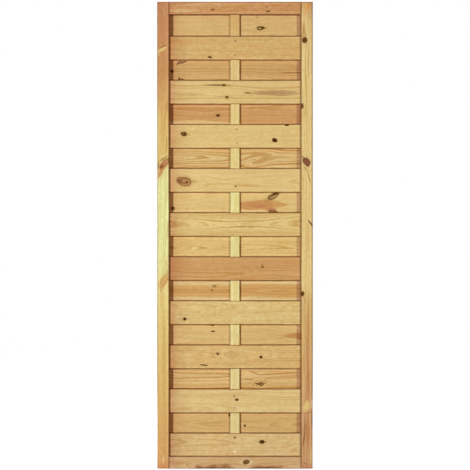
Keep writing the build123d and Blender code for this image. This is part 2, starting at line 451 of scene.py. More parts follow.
def pine(name, turn, tones, seed, rings, lines=0.3, mottle=0.3, heart=None, knots=(), stains=(), slant=0.0,
         edges=None, grime=0.5, wear=(0, 0), end=None):
    """The material of one board. Places on it are in millimetres from its middle, along and across it.

    On an upright bar, along is upwards and across is to the right. tones is one colour, or pairs of a place
    along the board and the colour there, which lean over by the slant. lines and mottle are how strongly
    rings and blotches show, and the shade strength how strongly the painted shade along edges, ends and the
    batten shows. heart is a colour and how far it reaches from the pith. The shade inset is how much further
    in the painted shade lines lie at the lower and the upper edge, and end is how far the board shows from
    its middle, if a joint hides the rest.
    """
    low, high = (Vector(corner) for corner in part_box(name))
    turned = Euler(turn).to_matrix()
    half = [abs(share) for share in turned @ (high - low) / 2]
    front = (turned @ (low - high) / 2).z
    # A bar's painted shade lines lie at its edges, moved in by the shade inset.
    edges = edges or Edges(wear[0] * MM - half[1], half[1] - wear[1] * MM, end or half[0])
    material = bpy.data.materials.new(name + "_pine")
    material.use_nodes = True
    tree = material.node_tree
    shader = tree.nodes["Principled BSDF"]
    where = put(tree, "ShaderNodeTexCoord").outputs["Object"]
    feeds = {"Vector": where, "Rotation": turn, "Location": -(turned @ (low + high) / 2)}
    board = grain = put(tree, "ShaderNodeMapping", feeds).outputs[0]
    sapwood = linear(tones) if isinstance(tones, str) else drifting(tree, board, tones, slant)
    for mark in stains:
        feeds = placed(mark, board, front) | {
            "Point": mark.point, "Strength": mark.strength, "Sharp": mark.sharp, "Soft": mark.soft,
        }
        mask = put(tree, "ShaderNodeGroup", feeds, node_tree=stain_nodes).outputs[0]
        sapwood = blend(tree, mask, sapwood, linear(mark.tone))
    knot_masks = []
    for mark in knots:
        feeds = placed(mark, board, front) | {
            "Grain": grain, "Darkness": mark.dark, "Paleness": mark.pale, "Bend": mark.bend,
            "Years": mark.years,
        }
        grain, brown, dark = put(tree, "ShaderNodeGroup", feeds, node_tree=knot_nodes).outputs
        knot_masks += [(brown, mark.tone), (dark, KNOT_DARK)]
    feeds = {
        "Grain": grain, "Seed": seed, "Pith Across": rings.across * MM, "Pith Depth": rings.depth * MM,
        "Ring Width": rings.width * MM, "Run Out": rings.run_out, "Bow": rings.bow,
        "Wander": rings.wander, "Lines": lines, "Mottle": mottle, "Sapwood": sapwood,
        "Heartwood": linear(heart[0]) if heart else sapwood,
        "Heart Radius": heart[1] * MM if heart else 0.0,
    }
    wood = put(tree, "ShaderNodeGroup", feeds, node_tree=pine_nodes).outputs
    colour = wood["Color"]
    for mask, code in knot_masks:
        colour = blend(tree, mask, colour, linear(code))
    feeds = {
        "Board": board, "Outward": edges.outward, "End": edges.end, "Batten": edges.batten,
        "Outer Low": edges.outer_low, "Outer High": edges.outer_high,
        "Inner Low": edges.inner_low, "Inner High": edges.inner_high,
    }
    shade, pale, end_shade, left_shade = put(tree, "ShaderNodeGroup", feeds, node_tree=edge_nodes).outputs
    # The painted end shade, the painted shade at the left ends, the painted highlight and the painted edge
    # shade tint the wood's colour.
    shade = times(tree, shade, grime)
    for share, tint in ((end_shade, PAINTED_END_SHADE), (left_shade, PAINTED_LEFT_SHADE), (pale, PAINTED_EDGE_HIGHLIGHT), (shade, PAINTED_SHADE)):
        colour = blend(tree, share, colour, tint, "MULTIPLY")
    tree.links.new(colour, shader.inputs["Base Color"])
    tree.links.new(wood["Roughness"], shader.inputs["Roughness"])
    shader.inputs["Specular IOR Level"].default_value = WOOD_GLOSS
    feeds = {"Height": wood["Height"], "Strength": 0.35, "Distance": GRAIN_RELIEF}
    tree.links.new(put(tree, "ShaderNodeBump", feeds).outputs[0], shader.inputs["Normal"])
    return material


def haze(along, up, length, height, strength, tone):
    """A streak so soft that the colour of the wood only drifts."""
    return Stain(along, up, length, height, 0, strength, tone, soft=0.8)


def dress(name, turn, **look):
    """Gives one solid of the frame its wood."""
    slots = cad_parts[name].data.materials
    slots.clear()
    slots.append(pine(name, turn, **look))


dress(
    "left_stile", ALONG_Z, seed=3.1, rings=Rings(18, 30, 5, 0.01), lines=0.4, slant=-0.6, grime=0.4,
    wear=(1.5, 0),
    tones=[
        (-900, "DCA868"), (-336, "E8CC80"), (-28, "EAE8A0"), (200, "EAE8A0"), (290, "E2C67C"),
        (450, "DFB873"), (640, "CE9862"), (900, "C88D60"),
    ],
    knots=[
        Knot(276, 6, 30, 12, 42, 0.4, 1.0, 0.8, "BC7248", 0.2),
        Knot(266, -5, 9, 3.5, 45, 0.4, 0.0, 0.3, "94561C"),
        Knot(-164, 2, 32, 4, 31, 0.16, 0.9, 0.8, "D29A54"),
        Knot(-190, 4, 34, 5, 30, 0.18, 0.9, 0.8, "CE904E"),
    ],
    stains=[
        Stain(296, 2, 22, 3.2, 0, 0.85, "A07840", 56),
        Stain(250, -6, 38, 9.5, 0.2, 0.85, "C98C54", 22, soft=0.5),
        Stain(270, -18, 20, 5, 0, 0.6, "A08050"), Stain(304, -3, 12, 6, 0, 0.6, "F2D494", 45, soft=0.6),
        haze(480, -4, 170, 7, 0.4, "D8A458"), Stain(-176, 2, 40, 20, 0, 0.75, "D8A45C", 31, soft=0.6),
        Stain(727, 0, 18, 3.5, 0, 0.65, "A0683A", 62), Stain(704, -16, 16, 6, 0, 0.6, "E2C67E", soft=0.5),
        haze(410, -17, 130, 8, 0.45, "E6DC90"), Stain(716, -4, 24, 7, 0, 0.85, "E6CC84", 62),
        Stain(866, 4, 24, 2.5, 0, 0.6, "DDB284", -14), haze(655, -8, 50, 9, 0.35, "DCA05E"),
        haze(-500, 2, 330, 2.6, 0.35, "B98A4E"), haze(-240, -6, 60, 8, 0.5, "DDB060"),
        Stain(-864, 2, 24, 6, 0, 0.9, "F2C890", soft=0.5),
    ],
)


# Right stile
# The same grooved bar on the other side. Its top outer corner has been knocked round, and it has more
# branches: a round one near the top, a wide red one with curling grain, and some cut by its edges.
dress(
    "right_stile", ALONG_Z, seed=8.4, rings=Rings(-12, 26, 5, 0.012), lines=0.5, slant=0.4, grime=0.65,
    wear=(0, 2),
    tones=[
        (-900, "D7A878"), (-690, "D5A674"), (-530, "DAAD72"), (-240, "E2C07C"), (-190, "EDD48E"),
        (700, "EBD28E"), (830, "E7C788"), (900, "D2A26A"),
    ],
    knots=[
        Knot(752, -9, 12, 10.5, 0, 0.75, 0.2, 1.0, "7A3A14"),
        Knot(498, -20, 11, 7, 0, 0.55, 0.1, 1.0, "8A4426"),
        Knot(283, -2, 19, 13, -35, 0.6, 0.8, 2.0, "8A4430"), Knot(45, 15, 16, 3, -35, 0.6),
        Knot(-225, -18, 9, 8, 0, 0.85, 0.2), Knot(-880, -8, 3, 2.4, 0, 0.35),
    ],
    stains=[
        Stain(880, 0, 16, 12, 0, 0.8, "ECA85A", 20, 0.7, 0.6),
        Stain(858, -6, 20, 5, 0, 0.5, "E8A458", 20, soft=0.6), haze(790, -14, 40, 5, 0.4, "C88C58"),
        Stain(668, 6, 85, 2, 0, 0.55, "9A7440"), haze(560, -2, 120, 4, 0.3, "D0A050"),
        Stain(300, -15, 14, 5, 0, 0.6, "A06840", -35, soft=0.5),
        Stain(256, -5, 18, 3.5, 0, 0.6, "A87848", -36), Stain(222, 8, 30, 3, 0, 0.6, "A07E3C", -12),
        Stain(262, 15, 10, 6, 0, 0.5, "F4E0A4", soft=0.6), haze(0, 4, 110, 6, 0.4, "CF9A52"),
        haze(-400, 4, 200, 9, 0.6, "C4865A"), Stain(-560, 5, 110, 8, 0, 0.6, "C27E52", soft=0.7),
        Stain(-745, -9, 60, 3, 0, 0.6, "8E5232", soft=0.5),
        Stain(-752, 3, 74, 11, 0, 0.6, "C2814E", soft=0.6), Stain(-788, -12, 32, 3, 0, 0.6, "8E5232", 10),
        Stain(-660, -3, 28, 19, 0, 1.0, "EFD88A", 14, 0.8, 1.0),
        Stain(-650, 18, 24, 5, 0, 0.7, "F4E4AA", soft=0.6),
        Stain(-685, 5, 18, 4, 0, 0.6, "B87A48", 74, soft=0.5), Stain(-715, 20, 42, 2.5, 0, 0.8, "6A3E2A"),
        Stain(-855, 18, 46, 5, 0, 0.9, "E4C47E"), Stain(-256, -15, 24, 6, 0, 0.6, "E8C098", soft=0.6),
        haze(-400, -16, 150, 7, 0.6, "E6C67E"), haze(-430, 19, 200, 5, 0.6, "E4C482"),
        haze(-565, -15, 100, 6, 0.55, "E2C078"), Stain(-249, -9, 18, 2, 0, 0.5, "A87848", -18),
    ],
)


# Top and bottom rails
# Cross bars of the same stock, with their grooves towards the slats and a stub tenon at each end. The
# upper one is red heartwood, and the lower one still has brown bark along its underside.
opening_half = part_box("right_stile")[0][0]
dress(
    "top_rail", ALONG_X, seed=5.7, rings=Rings(30, 12, 6, 0.02), lines=0.45, tones="D6A26A", grime=0.8,
    mottle=0.6, end=opening_half,
    knots=[
        Knot(-86, -5, 9, 4, 0, 0.4, 0.2, 1.0, "A26A3C"), Knot(123, 3, 5, 4, 0, 0.25, 0.2, 1.0, "A86C44"),
        Knot(128, -12, 8, 4, 0, 0.4, 0.2, 1.0, "9C6038"), Knot(-128, -11, 4, 3, 0, 0.15),
    ],
    stains=[
        Stain(-200, -10, 80, 7, 0.3, 0.75, "E0BA80"), Stain(-200, 5, 70, 1.8, 0, 0.45, "9A6238"),
        Stain(-120, -13, 30, 5, 0, 0.5, "DDA878"), haze(180, 8, 110, 7, 0.35, "C67C4A"),
        haze(30, 2, 70, 9, 0.3, "C8844E"),
    ],
)
dress(
    "bottom_rail", ALONG_X, seed=14.2, rings=Rings(-20, 14, 4, -0.05), lines=0.45, tones="DAB480", grime=0.8,
    end=opening_half,
    knots=[Knot(43, 2, 14, 10, 8, 0.82, 0.7, 1.2, "865610", 0.3)],
    stains=[
        Stain(-85, -24, 95, 30, 0, 0.6, "B8744A", sharp=0.4, soft=1.0),
        Stain(130, -24, 82, 28, 0, 0.6, "B8744A", sharp=0.4, soft=1.0),
        Stain(-142, -17, 18, 12, 0, 0.75, "9A5A30", soft=1.2),
        Stain(-82, -15, 18, 10, 0, 0.65, "A0623A", soft=1.2),
        Stain(-36, -15, 28, 15, 0, 0.85, "945630", soft=1.2),
        Stain(92, -17, 30, 13, 0, 0.75, "9E6038", soft=1.2),
        Stain(140, -18, 36, 12, 0, 0.65, "A2663E", soft=1.2),
        Stain(176, -15, 12, 9, 0, 0.6, "A0602E", soft=1.2),
        Stain(-82, -26, 88, 12, 0, 1.0, "4A2410", sharp=0.3, soft=0.9),
        Stain(118, -26, 76, 12, 0, 1.0, "4A2410", sharp=0.3, soft=0.9),
        Stain(44, 2, 26, 18, 0, 0.9, "EED6A6", sharp=0.5, soft=0.7), haze(-220, 0, 60, 12, 0.35, "C08858"),
    ],
)


# Corner screws
# Countersunk steel screws with a cross recess, driven through the outer sides of the stiles into the ends
# of the rails. Their heads lie just below the face of the wood.
SCREW_HEAD = 9.5 * MM
SCREW_SHANK = 5.0 * MM
SCREW_LENGTH = 70.0 * MM
SCREW_POINT = 7.0 * MM
SCREW_TIP = 0.2 * MM
RECESS_LENGTH = 0.525 * SCREW_HEAD
RECESS_WIDTH = 0.11 * SCREW_HEAD


def steel(name, dull, bright, roughness):
    """Drawn steel, a little uneven in colour and polish."""
    material = bpy.data.materials.new(name)
    material.use_nodes = True
    tree = material.node_tree
    shader = tree.nodes["Principled BSDF"]
    shader.inputs["Metallic"].default_value = 1.0
    where = put(tree, "ShaderNodeTexCoord").outputs["Object"]
    grains = put(tree, "ShaderNodeTexNoise", {"Vector": where, "Scale": 900.0, "Detail": 3.0}).outputs["Fac"]
    tree.links.new(blend(tree, grains, linear(dull), linear(bright)), shader.inputs["Base Color"])
    tree.links.new(calc(tree, "MULTIPLY_ADD", grains, 0.3, roughness), shader.inputs["Roughness"])
    return material


def pick(tree, index, values):
    """One of several numbers, by the place of a point in its line."""
    node = tree.nodes.new("GeometryNodeIndexSwitch")
    node.data_type = "FLOAT"
    while len(node.index_switch_items) < len(values):
        node.index_switch_items.new()
    for socket, value in zip(node.inputs, [index, *values]):
        if isinstance(value, bpy.types.NodeSocket):
            tree.links.new(value, socket)
        else:
            socket.default_value = value
    return node.outputs[0]


def made_of(tree, result, geometry, material):
    """Ends a geometry node tree: real faces, in one material."""
    solid = put(tree, "GeometryNodeRealizeInstances", [geometry]).outputs[0]
    feeds = {"Geometry": solid, "Material": material}
    tree.links.new(put(tree, "GeometryNodeSetMaterial", feeds).outputs[0], result["Geometry"])


def grown(name, tree, values, points=()):
    """A plain mesh object made by a geometry node tree from its named inputs, at the given points."""
    start = bpy.data.meshes.new(name + "_points")
    start.from_pydata(points, [], [])
    maker = bpy.data.objects.new(name + "_maker", start)
    bpy.context.scene.collection.objects.link(maker)
    modifier = maker.modifiers.new("shape", "NODES")
    modifier.node_group = tree
    for item in tree.interface.items_tree:
        if item.in_out == "INPUT" and item.name in values:
            modifier[item.identifier] = values[item.name]
    ready = maker.evaluated_get(bpy.context.evaluated_depsgraph_get())
    mesh = bpy.data.meshes.new_from_object(ready)
    bpy.data.objects.remove(maker)
    mesh.name = name
    piece = bpy.data.objects.new(name, mesh)
    bpy.context.scene.collection.objects.link(piece)
    return piece


def four_points(tree, spot):
    """A line of four points, each moved to its own spot."""
    line = put(tree, "GeometryNodeCurvePrimitiveLine").outputs[0]
    line = put(tree, "GeometryNodeResampleCurve", {"Curve": line, "Count": 4}).outputs[0]
    return put(tree, "GeometryNodeSetPosition", {"Geometry": line, "Position": spot}).outputs[0]


def swept(tree, line, section, scale=1.0):
    """A closed solid: a section drawn along a line, and scaled at each of its points."""
    feeds = {"Curve": line, "Profile Curve": section, "Scale": scale, "Fill Caps": True}
    return put(tree, "GeometryNodeCurveToMesh", feeds).outputs[0]


def screw_tree():
    """Geometry nodes for screws that lie along X, each driven inwards from the point that it starts at."""
    tree, given, result = group(
        "GeometryNodeTree", "countersunk_screws",
        ["Geometry:Geometry", "Head Radius", "Shank Radius", "Tip Radius", "Length", "Point Length",
         "Recess Length", "Recess Width", "Material:Material"],
        ["Geometry:Geometry"],
    )
    head, shank, length = given["Head Radius"], given["Shank Radius"], given["Length"]
    index = put(tree, "GeometryNodeInputIndex").outputs[0]
    shank_end = calc(tree, "SUBTRACT", length, given["Point Length"])
    depth = pick(tree, index, (0.0, calc(tree, "SUBTRACT", head, shank), shank_end, length))
    radius = pick(tree, index, (head, shank, shank, given["Tip Radius"]))
    line = four_points(tree, joined(tree, z=depth))
    circle = put(tree, "GeometryNodeCurvePrimitiveCircle", {"Resolution": 32, "Radius": 1.0}).outputs[0]
    screw = swept(tree, line, circle, radius)
    recess = put(tree, "GeometryNodeMeshBoolean", {"Mesh 1": screw}, operation="DIFFERENCE", solver="EXACT")
    wide, narrow = given["Recess Length"], given["Recess Width"]
    for sides in ((wide, narrow, head), (narrow, wide, head)):
        bar = put(tree, "GeometryNodeMeshCube", {"Size": joined(tree, *sides)}).outputs[0]
        tree.links.new(bar, recess.inputs["Mesh 2"])
    spot = put(tree, "GeometryNodeInputPosition").outputs[0]
    start = parts(tree, spot)["X"]
    turn = times(tree, calc(tree, "SIGN", start), math.radians(-90))
    inwards = joined(tree, y=turn)
    feeds = {"Points": given["Geometry"], "Instance": recess.outputs[0], "Rotation": inwards}
    screws = put(tree, "GeometryNodeInstanceOnPoints", feeds).outputs[0]
    made_of(tree, result, screws, given["Material"])
    return tree


screw_low, screw_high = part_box("frame_screws")
screws = grown(
    "corner_screws", screw_tree(),
    {
        "Head Radius": SCREW_HEAD / 2, "Shank Radius": SCREW_SHANK / 2, "Tip Radius": SCREW_TIP,
        "Length": SCREW_LENGTH, "Point Length": SCREW_POINT, "Recess Length": RECESS_LENGTH,
        "Recess Width": RECESS_WIDTH, "Material": steel("screw_steel", "A9A08C", "C9C0A6", 0.25),
    },
    [
        (x, 0.0, z)
        for x in (screw_low[0], screw_high[0])
        for z in (screw_low[2] + SCREW_HEAD / 2, screw_high[2] - SCREW_HEAD / 2)
    ],
)
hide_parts("frame_screws")
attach(screws, "root")


# Centre batten and end battens
# Thin planed laths of pale sapwood. The middle one shows wherever a back slat does, and the end ones lie
# in the stiles' grooves. The slats are stapled to the middle one from both sides.
BATTEN_TONES = [
    (-865, "E7D092"), (-200, "EDDE96"), (-40, "E8DA92"), (100, "EBE298"), (300, "E9D48C"), (620, "E5CB88"),
    (865, "DCB270"),
]
for name, seed in (("centre_batten", 2.2), ("left_end_batten", 6.1), ("right_end_batten", 9.9)):
    dress(
        name, ALONG_Z, seed=seed, rings=Rings(40, 18, 4, 0.006), lines=0.2, tones=BATTEN_TONES, grime=0.2
    )


# Back slats
# Thin planed boards in the layer at the back, their ends in the stiles' grooves. Each was sawn from a plank
# of its own, so each has its own tone, rings and knots.
BACK_SLATS = {
    "back_slat_01": dict(
        tones="DCB87A", seed=1.3, rings=Rings(60, 40), lines=0.25,
        knots=[
            Knot(97, -8, 14, 8.5, 6, 0.8, 0.5, 1.2, "7E5818"),
            Knot(108, -6, 7, 5, 0, 0.7, 0.1, 0, "6E4A10"),
            Knot(95, -9, 6, 3, 8, 0.46, 1.0, 0, "D0AC66", 0.0), Knot(85, 34, 5, 3, 0, 0.15),
        ],
        stains=[Stain(118, -7, 14, 2.6, 0.5, 0.7)],
    ),
    "back_slat_02": dict(
        tones="D7AF72", seed=2.9, rings=Rings(-40, 22, 5, 0.012), lines=0.5,
        knots=[
            Knot(-219, 27, 10, 4, 28, 0.3, 0, 0.5, "84503A"),
            Knot(-202, 31, 12, 4, 18, 0.35, 0, 0.5, "84503A"),
            Knot(-213, 34, 9, 2.5, 24, 0.3, 0, 0.5, "84503A"), Knot(-191, 35, 5, 2, 10, 0.5, 0, 0.5),
            Knot(-215, -33, 5, 5, 0, 0.8), Knot(-204, -35, 5, 3, 0, 0.6), Knot(-243, -4, 6, 6, 0, 1.0),
        ],
        stains=[Stain(215, -9, 60, 1.6, -0.6, 0.8), Stain(180, 5, 110, 1.5, -0.5, 0.5)],
    ),
    "back_slat_03": dict(
        tones="D4A56B", seed=4.4, rings=Rings(22, 24, 5, 0.012), lines=0.45,
        knots=[Knot(-66, -4, 8, 5.5, 0, 0.8, 0.1, 1.0, "8A4C24")],
        stains=[Stain(-150, -39, 200, 19, 0.2, 0.9, "E6C88C", soft=0.3)],
    ),
    "back_slat_04": dict(
        tones="DFBF81", seed=5.2, rings=Rings(4, 14, 7, 0.05), lines=0.72,
        knots=[Knot(88, -6, 22, 12, 20, 0.0, 0, 2.0)],
    ),
    "back_slat_05": dict(
        tones="E1C380", seed=6.8, rings=Rings(30, 34, 5, 0.015), lines=0.2,
        knots=[
            Knot(147, 25, 27, 11.5, 28, 0.8, 0.8, 1.2, "98723F", 0.3),
            Knot(156, 33, 15, 4.5, 28, 0.7, 0, 0, "6B4A18"),
            Knot(149, 22, 18, 4.5, 28, 0.45, 1.0, 0, "BE9660", 0),
            Knot(146, -34, 19, 8, -6, 0.5, 0.6, 1.0, "A2683A"), Knot(-240, -23, 8, 7.5, 0, 0.75, 0.8),
        ],
        stains=[
            Stain(122, -8.5, 94, 21, 0.1, 0.85, "D09F58", 0, 1.4, 0.15),
            Stain(138, -26, 22, 12, 0, 0.8, "CC9068"),
            Stain(72, -10.5, 74, 19.5, -0.2, 0.85, "CB9258", 2, 0.25, 0.25),
            haze(92, -14, 36, 9, 0.6, "C87E60"), Stain(64, -32, 60, 4, 0, 0.5, "F0CE9A", soft=0.6),
        ],
    ),
    "back_slat_06": dict(
        tones="E6C883", seed=7.5, rings=Rings(-4, 38.1, 1.6, 0.02, 0, 0.4), lines=0.63,
    ),
    "back_slat_07": dict(
        tones="E1C589", seed=8.1, rings=Rings(2, 16, 5, 0.008), lines=0.4, heart=("D6A967", 28),
        knots=[Knot(-79, 17, 9, 5, 0, 0.32, 0.8), Knot(-89, 1, 4, 4.5, 0, 0.32)],
    ),
    "back_slat_08": dict(
        tones="DEBD7D", seed=9.6, rings=Rings(-22, 30, 5, 0.02), lines=0.4,
        knots=[Knot(-87, 37, 7, 4, 0, 0.5), Knot(-85, 13, 7, 3.5, 0, 0.7)],
        stains=[Stain(258, -3, 102, 19, -0.6, 0.8, "C4874F", soft=0.6), Stain(-85, 13, 17, 1.5, 0, 0.6)],
    ),
    "back_slat_09": dict(
        tones="E0BD7F", seed=10.3, rings=Rings(14, 18, 7, 0.03, 0, 0.6), lines=0.72,
        knots=[Knot(101, -21, 9.5, 8.5, 10, 1.0, 0.9, 3.5, "A87A40", 0.35)],
        stains=[
            Stain(88, -20, 13, 3.5, 0.3, 1.0, "6B4218", -10),
            Stain(112, -20, 6, 2.4, 0, 0.8, "6B4218", 15),
            Stain(77, 22, 22, 3, 0, 0.75, "AE763E", -24, 0.6),
            Stain(166, 19, 78, 3.4, 0, 0.7, "AE763E", 3, 0.4),
            Stain(188, 9, 62, 6, 0, 0.45, "C08A4A", 4, 0.5, 0.8),
            Stain(53, -2, 28, 2.6, 0, 0.6, "B07840", -6), Stain(122, 0, 15, 2.6, 0, 0.6, "B07840", 23),
        ],
    ),
    "back_slat_10": dict(
        tones="DAB475", seed=11.7, rings=Rings(-4, 50, 2.5, -0.02, 0, 0.5), lines=0.32,
        knots=[Knot(-22, 32, 3.4, 9, 0, 0.95), Knot(38, -11, 5, 5, 0, 0.6)],
    ),
}
OUTER_ROUND = 3.0 * MM
INNER_EASE = 0.6 * MM
EDGE_WEAR = 0.5 * MM
# The boards in their order from the top down, with the rails that they end at.
stack = ["top_rail"]
for back_slat in BACK_SLATS:
    stack += [back_slat, back_slat.replace("back", "front")]
stack.append("bottom_rail")


def board_tree():
    """Geometry nodes for a planed board that lies along X: rounded outer edges, eased inner ones."""
    tree, given, result = group(
        "GeometryNodeTree", "planed_board",
        ["Length", "Height", "Thickness", "Outer Round", "Inner Ease", "Outward", "Middle:Vector", "Wear",
         "Seed", "Material:Material"],
        ["Geometry:Geometry"],
    )
    feeds = {"Width": given["Thickness"], "Height": given["Height"]}
    section = put(tree, "GeometryNodeCurvePrimitiveQuadrilateral", feeds).outputs[0]
    spot = put(tree, "GeometryNodeInputPosition").outputs[0]
    corner = parts(tree, spot)["X"]
    outer = calc(tree, "GREATER_THAN", times(tree, corner, given["Outward"]), 0.0)
    spread = calc(tree, "SUBTRACT", given["Outer Round"], given["Inner Ease"])
    radius = calc(tree, "MULTIPLY_ADD", outer, spread, given["Inner Ease"])
    feeds = {"Curve": section, "Count": 6, "Radius": radius}
    section = put(tree, "GeometryNodeFilletCurve", feeds, mode="POLY").outputs[0]
    half = times(tree, given["Length"], 0.5)
    right = joined(tree, half)
    left = joined(tree, times(tree, half, -1.0))
    line = put(tree, "GeometryNodeCurvePrimitiveLine", {"Start": left, "End": right}).outputs[0]
    line = put(tree, "GeometryNodeResampleCurve", {"Curve": line, "Count": 64}).outputs[0]
    board = swept(tree, line, section)
    feeds = {"Vector": spot, "W": given["Seed"], "Scale": 26.0}
    noise = put(tree, "ShaderNodeTexNoise", feeds, noise_dimensions="4D").outputs["Color"]
    centred = put(tree, "ShaderNodeVectorMath", (noise, (0.5, 0.5, 0.5)), operation="SUBTRACT").outputs[0]
    feeds = {0: centred, "Scale": given["Wear"]}
    worn = put(tree, "ShaderNodeVectorMath", feeds, operation="SCALE").outputs[0]
    worn = parts(tree, worn)
    worn = joined(tree, y=worn["Y"], z=worn["Z"])
    offset = put(tree, "ShaderNodeVectorMath", (worn, given["Middle"]), operation="ADD").outputs[0]
    board = put(tree, "GeometryNodeSetPosition", {"Geometry": board, "Offset": offset}).outputs[0]
    made_of(tree, result, board, given["Material"])
    return tree


planed_board = board_tree()


def slat_edges(name, outward):
    """Where a slat's faces end, from its middle: its own edges outside, and its neighbours' edges inside."""
    low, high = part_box(name)
    middle = (low[2] + high[2]) / 2
    rank = stack.index(name)
    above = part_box(stack[rank - 1])[0][2] - middle
    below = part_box(stack[rank + 1])[1][2] - middle
    opening_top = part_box("top_rail")[0][2] - middle
    opening_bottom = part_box("bottom_rail")[1][2] - middle
    return Edges(
        inner_low=below, inner_high=above, end=opening_half, outward=-outward,
        outer_low=max(low[2] - middle, opening_bottom), outer_high=min(high[2] - middle, opening_top),
        batten=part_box("centre_batten")[1][0],
    )


def slat(name, outward, look):
    """One board in the place of its solid, with its outer side towards the front (-1) or the back (1)."""
    low, high = (Vector(corner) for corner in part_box(name))
    size = high - low
    material = pine(name, ALONG_X, edges=slat_edges(name, outward), grime=0.8, **look)
    piece = grown(name + "_board", planed_board, {
        "Length": size.x, "Height": size.z - EDGE_WEAR, "Thickness": size.y, "Outer Round": OUTER_ROUND,
        "Inner Ease": INNER_EASE, "Outward": outward, "Middle": (low + high) / 2, "Wear": EDGE_WEAR,
        "Seed": look["seed"], "Material": material,
    })
    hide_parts(name)
    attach(piece, "root")


for name, look in BACK_SLATS.items():
    slat(name, 1, look)


# Front slats
# The same boards in the layer at the front, lapping over the back ones above and below. Two staples hold
# each to the middle batten, and the wood round them is bruised and stained.
def bruise(along, up, length, height, dark):
    """A dark spot round a staple. It doesn't bend the grain as a branch does."""
    return Knot(along, up, length, height, 0, dark, 0, 0)


